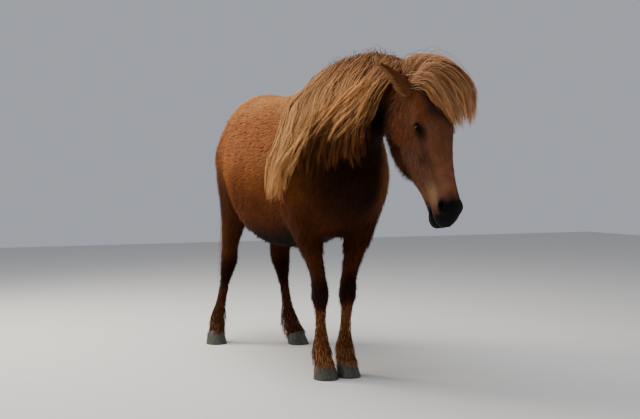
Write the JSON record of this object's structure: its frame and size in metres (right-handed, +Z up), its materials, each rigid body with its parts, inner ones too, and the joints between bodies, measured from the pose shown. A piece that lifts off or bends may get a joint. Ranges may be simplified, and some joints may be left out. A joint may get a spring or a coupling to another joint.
{
  "type": "icelandic horse",
  "caption": "Life-size chestnut Icelandic horse standing square on its hooves, head low and turned to its left, long windblown mane, forelock and full tail.",
  "frame": {"origin": "on the floor, at the bottom centre of the bounding box", "axes": "+X the way the horse faces, +Y to its left, +Z up"},
  "size_m": [2.0749, 0.669, 1.4522],
  "materials": {
    "coat": "short dense chestnut hair",
    "hair": "long coarse hair",
    "horn": "grey horn",
    "eye": "wet and glossy"
  },
  "bodies": {
    "root": {"neck": "coat", "head": "coat", "leg_front_right": "coat", "hoof_front_right": "horn", "leg_front_left": "coat", "hoof_front_left": "horn", "leg_hind_right": "coat", "hoof_hind_right": "horn", "leg_hind_left": "coat", "hoof_hind_left": "horn", "torso": "coat", "tail": "hair", "ear_right": "coat", "eye_right": "eye", "ear_left": "coat", "eye_left": "eye"}
  },
  "joints": []
}
